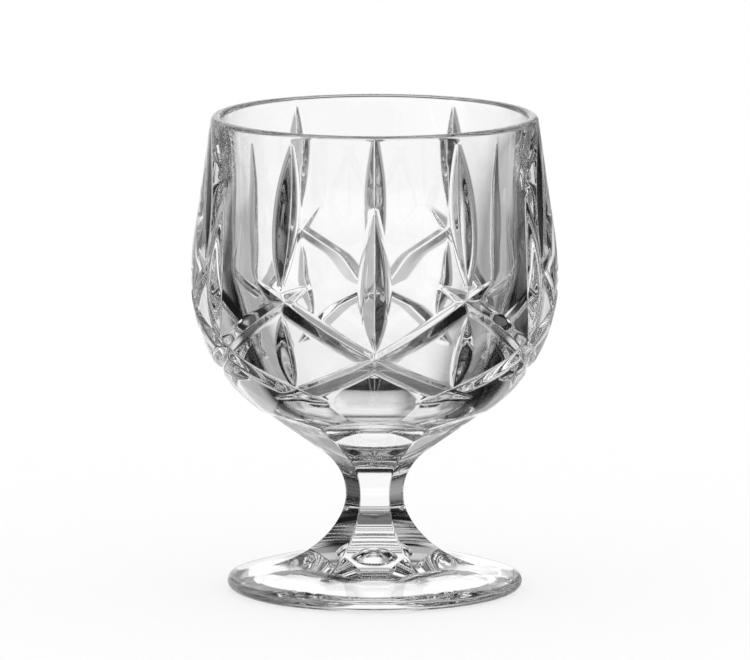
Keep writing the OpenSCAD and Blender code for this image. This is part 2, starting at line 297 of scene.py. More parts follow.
@dataclass
class GroundFacets:
    """Six hollow-ground facets that run from the foot over the stem to the base of the bowl."""

    leg: float
    waist_apothem: float = 5.8 * MM
    waist_share: float = 0.741
    upper_cove: float = 12.7 * MM
    lower_cove: float = 20.6 * MM
    cove_turn: float = math.radians(24)
    foot_lean: float = math.radians(80)
    facet_lean: float = math.radians(51.3)
    run_share: float = 0.407
    flare_arc: float = 8 * MM
    flare_lean: float = math.radians(69)
    ridge_blend: float = 0.3 * MM

    def __post_init__(self) -> None:
        """Lays out the arcs of the facet in the plane through the axis and the middle of a facet."""
        self.waist_z = self.leg * self.waist_share
        self.cove = np.array([self.waist_apothem + self.upper_cove, self.waist_z])
        gap = self.lower_cove - self.upper_cove
        self.low = self.cove + gap * np.array([math.cos(self.cove_turn), math.sin(self.cove_turn)])
        c, s = math.cos(self.facet_lean), math.sin(self.facet_lean)
        self.run_start = self.cove + self.upper_cove * np.array([-c, s])
        self.run_way = np.array([s, c])
        self.run_length = self.leg * self.run_share
        self.run_end = self.run_start + self.run_length * self.run_way
        self.flare = self.run_end + self.flare_arc * np.array([c, -s])
        flare_way = np.array([-math.cos(self.flare_lean), math.sin(self.flare_lean)])
        self.flare_end = self.flare + self.flare_arc * flare_way
        foot_way = np.array([math.cos(self.foot_lean), math.sin(self.foot_lean)])
        self.foot_start = self.low - self.lower_cove * foot_way

    def depth(self, d: Array, z: Array) -> Array:
        """How deep points stand in the ground space beside one facet; negative in the glass.

        Args:
            d: Distances from the axis along the facet's own direction.
            z: Heights.

        Returns:
            The depths.
        """
        def polar(centre: Array) -> tuple[Array, Array]:
            """Distance from a centre, and angle over the level line towards the axis."""
            return np.hypot(d - centre[0], z - centre[1]), np.arctan2(z - centre[1], centre[0] - d)

        def plane(at: Array, lean: float, up: int) -> Array:
            """Depth over a straight run that leans from upright."""
            return (d - at[0]) * math.cos(lean) - up * (z - at[1]) * math.sin(lean)

        cove_r, cove_a = polar(self.cove)
        low_r, low_a = polar(self.low)
        flare_r, flare_a = polar(self.flare)
        along = (d - self.run_start[0]) * self.run_way[0] + (z - self.run_start[1]) * self.run_way[1]
        over = np.where(flare_a > self.flare_lean,
                        plane(self.flare_end, self.flare_lean, 1), self.flare_arc - flare_r)
        upper = np.where(along > self.run_length, over, plane(self.run_start, self.facet_lean, 1))
        under = np.where(low_a < -self.foot_lean,
                         plane(self.foot_start, self.foot_lean, -1), self.lower_cove - low_r)
        middle = np.where(cove_a < -self.cove_turn, under, self.upper_cove - cove_r)
        return np.where((along > 0) & (cove_a > 0), upper, middle)

    def distance(self, p: Array) -> Array:
        """Signed distance of points in the front sector to its facet and the two beside it.

        Args:
            p: The points.

        Returns:
            The distances, negative in the glass.
        """
        result = None
        for k in (0, 1, -1):
            d = p[..., 0] * math.sin(k * TURN) - p[..., 1] * math.cos(k * TURN)
            depth = self.depth(d, p[..., 2])
            result = depth if result is None else smooth_max(result, depth, self.ridge_blend)
        return result

    def apothem(self, z: Array) -> Array:
        """Distance from the axis to the middle of a facet at each height."""
        z = np.asarray(z, dtype=float)
        return bisect(np.zeros_like(z), np.full_like(z, self.cove[0]), lambda d: self.depth(d, z) > 0)


@dataclass(frozen=True)
class CutProfile:
    """Section of a cut: two faces that meet in a valley and swell towards the shoulders."""

    valley_slope: float
    swell: float
    valley_round: float = 0.1 * MM
    flat_share: float = 0.46

    def depth(self, out: Array, across: Array) -> Array:
        """How deep points stand in the cut.

        Args:
            out: How far the points stand over the valley.
            across: How far they stand beside it.

        Returns:
            Distances, positive in the cut.
        """
        away = np.sqrt(across * across + self.valley_round ** 2) - self.valley_round
        held = np.minimum(away, self.flat_share * self.valley_slope / self.swell)
        slope = self.valley_slope - 2 * self.swell * held
        rise = self.valley_slope * held - self.swell * held * held + slope * (away - held)
        return (out - rise) / np.sqrt(1 + slope * slope)


class LensCut:
    """Pointed cut made by a wheel, standing along the bowl; its two faces swell towards the shoulders."""

    def __init__(self, wall: BowlWall, azimuth: float, shares: tuple[float, float], depth: float,
                 profile: CutProfile) -> None:
        """Places the wheel on the wall.

        Args:
            wall: The wall that is cut.
            azimuth: Where the cut stands round the bowl.
            shares: Heights of its ends over the joint, as shares of the bowl.
            depth: Depth of the cut in its middle.
            profile: Section of the cut.
        """
        self.azimuth, self.profile = azimuth, profile
        self.low_z, self.high_z = (wall.over_joint(share) for share in shares)
        middle = (self.low_z + self.high_z) / 2
        lean = float(wall.lean(middle))
        low = np.array([float(wall.radius(self.low_z)), self.low_z])
        high = np.array([float(wall.radius(self.high_z)), self.high_z])
        out = np.array([math.cos(lean), math.sin(lean)])
        deep = np.array([float(wall.radius(middle)), middle]) - depth * out
        p, q = low - high, deep - high
        spin = 2 * (p[0] * q[1] - p[1] * q[0])
        self.hub = high + np.array([q[1] * (p @ p) - p[1] * (q @ q), p[0] * (q @ q) - q[0] * (p @ p)]) / spin
        self.radius = float(np.linalg.norm(low - self.hub))
        self.side = -1 if self.hub[0] > deep[0] else 1

    def distance(self, p: Array) -> Array:
        """How deep points stand in the cut.

        Args:
            p: The points.

        Returns:
            Distances, positive in the cut.
        """
        d = p[..., 0] * math.sin(self.azimuth) - p[..., 1] * math.cos(self.azimuth)
        across = p[..., 0] * math.cos(self.azimuth) + p[..., 1] * math.sin(self.azimuth)
        out = self.side * (np.hypot(d - self.hub[0], p[..., 2] - self.hub[1]) - self.radius)
        return self.profile.depth(out, across)


class LongGroove:
    """Mitred groove that winds over the bowl through an upper, a middle and a lower crossing."""

    def __init__(self, wall: BowlWall, heights: Sequence[float], depth: float, profile: CutProfile,
                 lead: float, hand: Hand, turns: int) -> None:
        """Lays the ring of the groove through its three crossings.

        Args:
            wall: The wall that is cut.
            heights: Heights of the upper, middle and lower crossing.
            depth: Depth of the groove.
            profile: Section of the groove.
            lead: How far before the end crossings the straight run-outs start.
            hand: Which way the groove winds.
            turns: Steps of the pattern round the bowl at which the groove's middle stands.
        """
        self.hand, self.azimuth, self.profile = hand.value, turns * TURN, profile
        points = []
        for z, azimuth in zip(heights, (-SECTOR, 0.0, SECTOR)):
            lean = float(wall.lean(z))
            r = wall.radius(z) - depth * math.cos(lean)
            points.append(turned(r, azimuth, z - depth * math.sin(lean)))
        upper, middle, lower = points
        p, q = upper - lower, middle - lower
        cross = np.cross(p, q)
        self.hub = lower + np.cross((p @ p) * q - (q @ q) * p, cross) / (2 * (cross @ cross))
        self.radius = float(np.linalg.norm(middle - self.hub))
        self.u = (middle - self.hub) / self.radius
        n = np.cross(upper - middle, lower - middle)
        self.n = n / np.linalg.norm(n)
        self.v = np.cross(self.n, self.u)
        lean = float(wall.lean(heights[1]))
        face = turned(math.cos(lean), 0.0, math.sin(lean))
        self.lean = math.asin(float(face @ self.n))
        self.start = lead / self.radius - math.acos(float((lower - self.hub) @ self.u) / self.radius)
        self.end = math.acos(float((upper - self.hub) @ self.u) / self.radius) - lead / self.radius

    def _own(self, p: Array) -> Array:
        """Points turned back to where the groove was laid out.

        Args:
            p: The points.

        Returns:
            The turned points.
        """
        own = swung(p, math.cos(self.azimuth), -math.sin(self.azimuth))
        own[..., 0] *= self.hand
        return own

    def distance(self, p: Array) -> Array:
        """How deep points stand in the groove.

        Args:
            p: The points.

        Returns:
            Distances, positive in the groove.
        """
        v = self._own(p) - self.hub
        x, y, h = v @ self.u, v @ self.v, v @ self.n
        angle = np.clip(np.arctan2(y, x), self.start, self.end)
        reach = x * np.cos(angle) + y * np.sin(angle) - self.radius
        c, s = math.cos(self.lean), math.sin(self.lean)
        return self.profile.depth(reach * c + h * s, h * c - reach * s)

    def valley(self, step: float, run_out: float) -> Array:
        """Points along the bottom of the groove, from its lower to its upper end.

        Args:
            step: Distance between two points.
            run_out: Length of the straight run-outs.

        Returns:
            The points.
        """
        arc = np.linspace(self.start, self.end, round((self.end - self.start) * self.radius / step))
        run = np.linspace(0, run_out, round(run_out / step))[1:]
        rows = []
        before, after = [(self.start, -s) for s in run[::-1]], [(self.end, s) for s in run]
        for angle, along in before + [(a, 0.0) for a in arc] + after:
            out = self.u * math.cos(angle) + self.v * math.sin(angle)
            way = self.v * math.cos(angle) - self.u * math.sin(angle)
            rows.append(self.hub + self.radius * out + along * way)
        q = np.array(rows)
        q[:, 0] *= self.hand
        return swung(q, math.cos(self.azimuth), math.sin(self.azimuth))


Cut = LensCut | LongGroove


@dataclass
class CutPattern:
    """The cuts on the bowl: three rounds of lens cuts, and long grooves that cross into diamonds."""

    wall: BowlWall
    lens_profile: CutProfile = CutProfile(valley_slope=0.86, swell=0.02 / MM)
    groove_profile: CutProfile = CutProfile(valley_slope=0.75, swell=0.02 / MM)
    short_lens: tuple[float, float] = (0.392, 0.801)
    short_depth: float = 2.35 * MM
    tall_lens: tuple[float, float] = (0.575, 0.9726)
    tall_depth: float = 2.2 * MM
    diamond_lens: tuple[float, float] = (0.271, 0.475)
    diamond_depth: float = 1.6 * MM
    crossings: tuple[float, float, float] = (0.5255, 0.3586, 0.2503)
    groove_depth: float = 1.4 * MM
    run_out: float = 14 * MM
    run_lead: float = 3.5 * MM
    lens_shoulder: float = 0.6 * MM
    groove_shoulder: float = 0.4 * MM

    def __post_init__(self) -> None:
        """Sets up every cut that reaches the sector between two mirror planes."""
        self.lenses = [
            LensCut(self.wall, azimuth, shares, depth, self.lens_profile)
            for azimuth, shares, depth in ((0.0, self.short_lens, self.short_depth),
                                           (SECTOR, self.tall_lens, self.tall_depth),
                                           (SECTOR, self.diamond_lens, self.diamond_depth))
        ]
        heights = [self.wall.over_joint(share) for share in self.crossings]
        self.grooves = [
            LongGroove(self.wall, heights, self.groove_depth, self.groove_profile, self.run_lead, hand, turns)
            for hand in Hand for turns in (0, 1)
        ]

    def carve(self, p: Array, distance: Array) -> Array:
        """Signed distance of points to the wall once the cuts are taken from it.

        Args:
            p: The points.
            distance: Their distances to the uncut wall.

        Returns:
            The distances, negative in the glass.
        """
        for cuts, shoulder in ((self.lenses, self.lens_shoulder), (self.grooves, self.groove_shoulder)):
            for cut in cuts:
                distance = smooth_max(distance, cut.distance(p), shoulder)
        return distance


class Solid:
    """A glass surface given by its signed distance in the sector between two mirror planes."""

    def __init__(self, distance: Callable[[Array], Array]) -> None:
        """Keeps the distance function."""
        self.distance = distance

    def reach(self, start: Array, way: Array, depth: float) -> Array:
        """First points of the glass along rays.

        Args:
            start: Points just outside the glass.
            way: Unit directions into the glass.
            depth: How far the rays may go.

        Returns:
            The points on the surface.
        """
        zero = np.zeros(len(start))
        along = bisect(zero, zero + depth, lambda s: self.distance(start + s[:, None] * way) < 0)
        return start + along[:, None] * way

    def normals(self, p: Array, step: float = 0.01 * MM) -> Array:
        """Outward normals at points anywhere round the axis, from the slope of the distance.

        Args:
            p: The points.
            step: Half the length over which the slope is taken.

        Returns:
            One unit normal for each point.
        """
        azimuth = np.arctan2(p[:, 0], -p[:, 1])
        turns = np.round(azimuth / TURN)
        folded = azimuth - turns * TURN
        hand = np.where(folded < 0, -1.0, 1.0)
        radius = np.hypot(p[:, 0], p[:, 1])
        q = turned(radius, np.abs(folded), p[:, 2])
        slope = np.empty_like(q)
        for axis in range(3):
            shift = np.zeros(3)
            shift[axis] = step
            slope[:, axis] = self.distance(q + shift) - self.distance(q - shift)
        slope[:, 0] *= hand
        slope /= np.maximum(np.linalg.norm(slope, axis=1, keepdims=True), TINY)
        return swung(slope, np.cos(turns * TURN), np.sin(turns * TURN))


def deselect_all() -> None:
    """Leaves edit mode and clears the selection."""
    if bpy.context.object and bpy.context.object.mode != "OBJECT":
        bpy.ops.object.mode_set(mode="OBJECT")
    bpy.ops.object.select_all(action="DESELECT")


def take_up(obj: bpy.types.Object) -> None:
    """Makes one object the only one selected, and active.

    Args:
        obj: The object.
    """
    deselect_all()
    obj.select_set(True)
    bpy.context.view_layer.objects.active = obj


def new_mesh(name: str, points: Sequence, edges: Sequence, faces: Sequence) -> bpy.types.Object:
    """Links a mesh object made from points, edges and faces.

    Args:
        name: Name of the new object.
        points: Places of its vertices.
        edges: Pairs of vertices.
        faces: Vertices of each face in order.

    Returns:
        The new object.
    """
    mesh = bpy.data.meshes.new(name)
    mesh.from_pydata([tuple(map(float, p)) for p in points], edges, faces)
    mesh.update()
    obj = bpy.data.objects.new(name, mesh)
    bpy.context.scene.collection.objects.link(obj)
    return obj


def complete_round(obj: bpy.types.Object) -> None:
    """Mirrors a sector on the front plane and copies it round the axis, then welds the seams.

    Args:
        obj: The sector between the front plane and the next mirror plane.
    """
    take_up(obj)
    mirror = obj.modifiers.new("other half", "MIRROR")
    mirror.use_axis = (True, False, False)
    mirror.use_mirror_merge = True
    mirror.merge_threshold = WELD
    bpy.ops.object.modifier_apply(modifier=mirror.name)
    bpy.ops.object.mode_set(mode="EDIT")
    bpy.ops.mesh.select_all(action="SELECT")
    bpy.ops.mesh.spin(steps=SIDES - 1, dupli=True, angle=TURN * (SIDES - 1), center=(0, 0, 0), axis=(0, 0, 1))
    bpy.ops.mesh.select_all(action="SELECT")
    bpy.ops.mesh.remove_doubles(threshold=WELD)
    bpy.ops.object.mode_set(mode="OBJECT")


def spun(name: str, rows: Sequence[tuple[float, float]], steps: int) -> bpy.types.Object:
    """Spins a half section, given from outside over the top to the axis, into a turned surface.

    Args:
        name: Name of the new object.
        rows: Radius and height of each point of the section.
        steps: Number of steps round the axis.

    Returns:
        The spun object.
    """
    points = [(0.0, -r, z) for r, z in rows]
    obj = new_mesh(name, points, [(i, i + 1) for i in range(len(points) - 1)], [])
    take_up(obj)
    bpy.ops.object.mode_set(mode="EDIT")
    bpy.ops.mesh.select_all(action="SELECT")
    bpy.ops.mesh.spin(steps=steps, angle=2 * math.pi, center=(0, 0, 0), axis=(0, 0, 1))
    bpy.ops.mesh.select_all(action="SELECT")
    bpy.ops.mesh.remove_doubles(threshold=WELD)
    bpy.ops.object.mode_set(mode="OBJECT")
    return obj


def joined(first: bpy.types.Object, second: bpy.types.Object) -> None:
    """Joins a second object into the first and welds where they meet.

    Args:
        first: The object that stays.
        second: The object that goes into it.
    """
    take_up(first)
    second.select_set(True)
    bpy.ops.object.join()
    bpy.ops.object.mode_set(mode="EDIT")
    bpy.ops.mesh.select_all(action="SELECT")
    bpy.ops.mesh.remove_doubles(threshold=WELD)
    bpy.ops.object.mode_set(mode="OBJECT")


def coordinates(obj: bpy.types.Object) -> Array:
    """Places of all vertices of an object.

    Args:
        obj: The object.

    Returns:
        One row for each vertex.
    """
    flat = np.empty(len(obj.data.vertices) * 3)
    obj.data.vertices.foreach_get("co", flat)
    return flat.reshape(-1, 3)


def smooth_with(obj: bpy.types.Object, normals: Array) -> None:
    """Shades an object smooth with the normals of the true surface, and turns faces that look inwards.

    Args:
        obj: The object.
        normals: One outward normal for each vertex.
    """
    mesh = obj.data
    flip = []
    for face in mesh.polygons:
        want = normals[list(face.vertices)].sum(axis=0)
        if want @ np.array(face.normal) < 0:
            flip.append(face.index)
    if flip:
        shape = bmesh.new()
        shape.from_mesh(mesh)
        shape.faces.ensure_lookup_table()
        bmesh.ops.reverse_faces(shape, faces=[shape.faces[i] for i in flip])
        shape.to_mesh(mesh)
        shape.free()
    mesh.shade_smooth()
    mesh.normals_split_custom_set_from_vertices([tuple(n) for n in normals])
    LOG.info("%s: %d faces, %d turned", obj.name, len(mesh.polygons), len(flip))


def set_turned_normals(normals: Array, p: Array, rows: Array, side: int) -> int:
    """Gives the points on a turned surface the normals of its half section.

    Args:
        normals: Normals of all points, changed in place.
        p: The points.
        rows: Radius and height of each row of the section, and the angle of its face over the level line.
        side: 1 where that angle is measured from the way outwards, -1 where from the way to the axis.

    Returns:
        Number of points on the surface.
    """
    r = np.hypot(p[:, 0], p[:, 1])
    gaps = np.hypot(r[:, None] - rows[None, :, 0], p[:, 2][:, None] - rows[None, :, 1])
    row, on = gaps.argmin(axis=1), gaps.min(axis=1) < WELD
    look = rows[row[on], 2]
    out = p[on, :2] / np.maximum(r[on], WELD)[:, None]
    normals[on] = np.column_stack([side * np.cos(look)[:, None] * out, np.sin(look)])
    return int(on.sum())


@dataclass(frozen=True)
class GlassFinish:
    """Clear polished glass."""

    name: str
    tint: tuple[float, float, float, float] = WHITE
    transmission: float = 1.0
    ior: float = 1.53
    roughness: float = 0.0

    def material(self) -> bpy.types.Material:
        """Builds the material.

        Returns:
            The material.
        """
        material = bpy.data.materials.new(self.name)
        material.use_nodes = True
        shader = material.node_tree.nodes["Principled BSDF"]
        shader.inputs["Base Color"].default_value = self.tint
        shader.inputs["Transmission Weight"].default_value = self.transmission
        shader.inputs["IOR"].default_value = self.ior
        shader.inputs["Roughness"].default_value = self.roughness
        return material


@dataclass(frozen=True)
class FloorFinish:
    """Dull white floor, lifted towards plain white for the camera alone."""

    lift: float
    name: str = "white floor"
    colour: tuple[float, float, float, float] = WHITE
    roughness: float = 1.0
    specular: float = 0.0

    def material(self) -> bpy.types.Material:
        """Builds the material.

        Returns:
            The material.
        """
        material = bpy.data.materials.new(self.name)
        material.use_nodes = True
        tree = material.node_tree
        shader = tree.nodes["Principled BSDF"]
        shader.inputs["Base Color"].default_value = self.colour
        shader.inputs["Roughness"].default_value = self.roughness
        shader.inputs["Specular IOR Level"].default_value = self.specular
        path, lift = tree.nodes.new("ShaderNodeLightPath"), tree.nodes.new("ShaderNodeMath")
        white, mix = tree.nodes.new("ShaderNodeEmission"), tree.nodes.new("ShaderNodeMixShader")
        lift.operation = "MULTIPLY"
        lift.inputs[1].default_value = self.lift
        link = tree.links.new
        link(path.outputs["Is Camera Ray"], lift.inputs[0])
        link(lift.outputs[0], mix.inputs[0])
        link(shader.outputs[0], mix.inputs[1])
        link(white.outputs[0], mix.inputs[2])
        link(mix.outputs[0], tree.nodes["Material Output"].inputs["Surface"])
        return material


@dataclass
class SectorGrid:
    """Points in the unrolled sector, gathered in order of rank and thinned, and their triangles."""

    width: float
    tall: float
    points: list[tuple[float, float]] = field(default_factory=list)
    cells: dict[tuple[int, int], list[int]] = field(default_factory=dict)
    cell: float = 1.2 * MM
    merge: float = 1e-5

    def add(self, points: Array, apart: float, rim: float = 0.0) -> None:
        """Adds the points that stand clear of those already there.

        Args:
            points: Places across and up the sector.
            apart: Least distance to any point already there.
            rim: Least distance to the border of the sector; 0 for points of the border itself.
        """
        for x, y in points:
            if rim and not (rim < x < self.width - rim and rim < y < self.tall - rim):
                continue
            at = (int(x // self.cell), int(y // self.cell))
            near = [k for i in (-1, 0, 1) for j in (-1, 0, 1)
                    for k in self.cells.get((at[0] + i, at[1] + j), ())]
            if any((self.points[k][0] - x) ** 2 + (self.points[k][1] - y) ** 2 < apart * apart for k in near):
                continue
            self.cells.setdefault(at, []).append(len(self.points))
            self.points.append((float(x), float(y)))

    def triangles(self) -> tuple[Array, list[list[int]]]:
        """Triangulates the points.

        Returns:
            The points as an array, and the triangles between them.
        """
        scale = 1 / MM
        flat = [Vector((x * scale, y * scale)) for x, y in self.points]
        places, _, faces, _, _, _ = delaunay_2d_cdt(flat, [], [], 0, self.merge)
        return np.array([(v.x, v.y) for v in places]) * MM, [list(f) for f in faces]


@dataclass
class Bowl:
    """The bowl: turned, ground at its base and cut all round."""

    wall: BowlWall
    facets: GroundFacets
    pattern: CutPattern
    joint_z: float
    columns: Array
    grid_step: float = 1.35 * MM
    crease_step: float = 0.42 * MM
    square_z: float = 38 * MM
    turns: int = 180
    lip_steps: int = 14
    table_steps: int = 4000
    shoulder_steps: int = 20
    base_blend: float = 0.12 * MM
    ray_lead: float = 0.4 * MM
    ray_depth: float = 6 * MM
    crease_offsets: tuple[float, ...] = (0.13 * MM, 0.3 * MM, 0.6 * MM, 0.9 * MM)
    arch_offsets: tuple[float, ...] = (0.0, 0.15 * MM, -0.15 * MM, 0.4 * MM, -0.4 * MM)
    border_gap: float = 0.1 * MM
    crease_gap: float = 0.1 * MM
    ridge_gap: float = 0.2 * MM
    ridge_step: float = 0.5 * MM
    ridge_length: float = 14 * MM
    valley_overrun: float = 2 * MM
    groove_reach: float = 6 * MM
    lens_reach: float = 8 * MM
    row_share: float = 0.87
    apart_share: float = 0.55
    clear_share: float = 0.4

    def __post_init__(self) -> None:
        """Sets up the glass and the scale along the wall."""
        self.solid = Solid(self._distance)
        self.base = Solid(self._base)
        self.round_r = (self.wall.belly_radius + self.wall.rim_r) / 2
        self.table_z = np.linspace(self.joint_z, self.wall.top_z, self.table_steps)
        table_r = self.wall.radius(self.table_z)
        lengths = np.hypot(np.diff(table_r), np.diff(self.table_z))
        self.table_y = np.concatenate([[0.0], np.cumsum(lengths)])
        self.width, self.tall = SECTOR * self.round_r, float(self.table_y[-1])

    def _base(self, p: Array) -> Array:
        """Signed distance to the blank with its ground base."""
        return smooth_max(self.wall.distance(p), self.facets.distance(p), self.base_blend)

    def _distance(self, p: Array) -> Array:
        """Signed distance to the cut bowl."""
        return self.pattern.carve(p, self._base(p))

    def _rays(self, x: Array, y: Array) -> tuple[Array, Array]:
        """Rays into the glass: level at the joint, and square to the wall from square_z up.

        Args:
            x: Places across the unrolled sector.
            y: Places up the unrolled sector.

        Returns:
            Where the rays start, and their directions.
        """
        azimuth = x / self.round_r
        z = np.interp(y, self.table_y, self.table_z)
        lean = self.wall.lean(z)
        ease = np.clip((z - self.joint_z) / (self.square_z - self.joint_z), 0, 1)
        lean = lean * ease * ease * (3 - 2 * ease)
        way = -turned(np.cos(lean), azimuth, np.sin(lean))
        return turned(self.wall.radius(z), azimuth, z) - self.ray_lead * way, way

    def _place(self, p: Array) -> Array:
        """Places in the unrolled sector of points near the wall.

        Args:
            p: The points.

        Returns:
            Places across and up the sector.
        """
        z = self.wall.foot_of_normal(np.hypot(p[:, 0], p[:, 1]), p[:, 2])
        x = np.arctan2(p[:, 0], -p[:, 1]) * self.round_r
        return np.column_stack([x, np.interp(z, self.table_z, self.table_y)])

    def _on_base(self, xy: Array) -> Array:
        """Points of the uncut blank at places in the unrolled sector."""
        start, way = self._rays(xy[:, 0], xy[:, 1])
        return self.base.reach(start, way, self.ray_depth)

    def _creases(self, line: Array, cut: Cut, reach: float) -> list[Array]:
        """Lines of a cut in the unrolled sector: its valley and its two shoulders, with rows beside them.

        Args:
            line: The valley.
            cut: The cut.
            reach: How far from the valley a shoulder may be.

        Returns:
            Lines, the sharpest first.
        """
        way = np.gradient(line, axis=0)
        way /= np.linalg.norm(way, axis=1, keepdims=True)
        across = np.column_stack([-way[:, 1], way[:, 0]])
        deep = cut.distance(self._on_base(line)) > 0
        line, across = line[deep], across[deep]
        valley, shoulders = [line], []
        for side in (-1, 1):
            away = side * across
            zero = np.zeros(len(line))
            width = bisect(zero, zero + reach, lambda w: cut.distance(
                self._on_base(line + w[:, None] * away)) < 0, self.shoulder_steps)
            edge = line + width[:, None] * away
            shoulders.append(edge)
            for offset in self.crease_offsets:
                shoulders += [edge + offset * away, edge - offset * away]
                valley.append(line + offset * away)
        return valley + shoulders

    def _add_border(self, grid: SectorGrid) -> None:
        """Adds the border of the sector, with the columns of the stem below and the steps of the lip above.

        Args:
            grid: The points, still empty.
        """
        rise = np.linspace(0, self.tall, round(self.tall / self.crease_step) + 1)
        grid.add(np.column_stack([self.columns * self.round_r, 0 * self.columns]), 0)
        top = np.linspace(0, self.width, self.turns // (2 * SIDES) + 1)
        grid.add(np.column_stack([top, 0 * top + self.tall]), 0)
        for x in (0.0, self.width):
            grid.add(np.column_stack([0 * rise[1:-1] + x, rise[1:-1]]), 0)

    def _crease_groups(self) -> list[list[Array]]:
        """Lines along the cuts and along the arch of the ground facet in the unrolled sector.

        Returns:
            One list for each cut and one for the arch, the sharpest lines first.
        """
        groups = []
        for cut in self.pattern.grooves:
            line = self._place(cut.valley(self.crease_step, self.pattern.run_out))
            inside = (line[:, 0] > -self.valley_overrun) & (line[:, 0] < self.width + self.valley_overrun)
            groups.append(self._creases(line[inside], cut, self.groove_reach))
        for cut in self.pattern.lenses:
            z = np.linspace(cut.low_z, cut.high_z, round((cut.high_z - cut.low_z) / self.crease_step))[1:-1]
            x = 0 * z + cut.azimuth * self.round_r
            line = np.column_stack([x, np.interp(z, self.table_z, self.table_y)])
            groups.append(self._creases(line, cut, self.lens_reach))
        azimuth = np.linspace(0, SECTOR, round(self.width / self.crease_step))
        low, high = np.full_like(azimuth, self.square_z), np.full_like(azimuth, self.wall.belly_z)
        arch = bisect(low, high, lambda z: self.facets.distance(turned(self.wall.radius(z), azimuth, z)) < 0)
        arch_y = np.interp(arch, self.table_z, self.table_y)
        groups.append([np.column_stack([azimuth * self.round_r, arch_y + offset])
                       for offset in self.arch_offsets])
        return groups

    def _grid(self) -> SectorGrid:
        """Points of the sector: its border, the creases of the cuts, the ridges and a plain grid between.

        Returns:
            The points.
        """
        grid = SectorGrid(self.width, self.tall)
        self._add_border(grid)
        groups = self._crease_groups()
        for rank in range(max(map(len, groups))):
            for group in groups:
                if rank < len(group):
                    grid.add(group[rank], self.crease_gap, self.border_gap)
        ridge = np.linspace(0, self.ridge_length, round(self.ridge_length / self.ridge_step))
        for column in self.columns[1:-1]:
            line = np.column_stack([0 * ridge + column * self.round_r, ridge])
            grid.add(line, self.ridge_gap, self.border_gap)
        for i, y in enumerate(np.arange(0, self.tall, self.grid_step * self.row_share)):
            x = np.arange(0, self.width, self.grid_step) + (i % 2) * self.grid_step / 2
            grid.add(np.column_stack([x, 0 * x + y]), self.grid_step * self.apart_share,
                     self.grid_step * self.clear_share)
        return grid

    def build(self) -> bpy.types.Object:
        """Models the bowl.

        Returns:
            The bowl's object.
        """
        xy, faces = self._grid().triangles()
        start, way = self._rays(xy[:, 0], xy[:, 1])
        points = self.solid.reach(start, way, self.ray_depth)
        at_lip = xy[:, 1] > self.tall - WELD
        points[at_lip] = (start + self.ray_lead * way)[at_lip]
        obj = new_mesh("cut_bowl", points, [], faces)
        complete_round(obj)
        outside = len(obj.data.vertices)
        rows = self.wall.inside_rows(self.grid_step, self.lip_steps)
        joined(obj, spun("bowl_inside", rows[:, :2], self.turns))
        p = coordinates(obj)
        normals = self.solid.normals(p)
        inside = set_turned_normals(normals, p, rows, -1)
        LOG.info("bowl: %d outside points, %d inside", outside, inside)
        smooth_with(obj, normals)
        return obj


@dataclass
class Stem:
    """The stem: a post ground to six hollow facets."""

    facets: GroundFacets
    low_z: float
    high_z: float
    columns: Array
    row_step: float = 0.5 * MM

    def build(self) -> bpy.types.Object:
        """Models the stem.

        Returns:
            The stem's object.
        """
        solid = Solid(self.facets.distance)
        rows = np.linspace(self.low_z, self.high_z, round((self.high_z - self.low_z) / self.row_step) + 1)
        z, azimuth = np.meshgrid(rows, self.columns, indexing="ij")
        way = -turned(np.ones(z.size), azimuth.ravel(), np.zeros(z.size))
        reach = self.facets.apothem(rows).max() * 2
        start = turned(np.full(z.size, reach), azimuth.ravel(), z.ravel())
        points = solid.reach(start, way, reach)
        obj = new_mesh("faceted_stem", points, [], grid_faces(len(rows), len(self.columns)))
        complete_round(obj)
        smooth_with(obj, solid.normals(coordinates(obj)))
        return obj


def grid_faces(rows: int, columns: int) -> list[tuple[int, int, int, int]]:
    """Quads between rows of points, each row of the same length."""
    return [(i * columns + j, i * columns + j + 1, (i + 1) * columns + j + 1, (i + 1) * columns + j)
            for i in range(rows - 1) for j in range(columns - 1)]


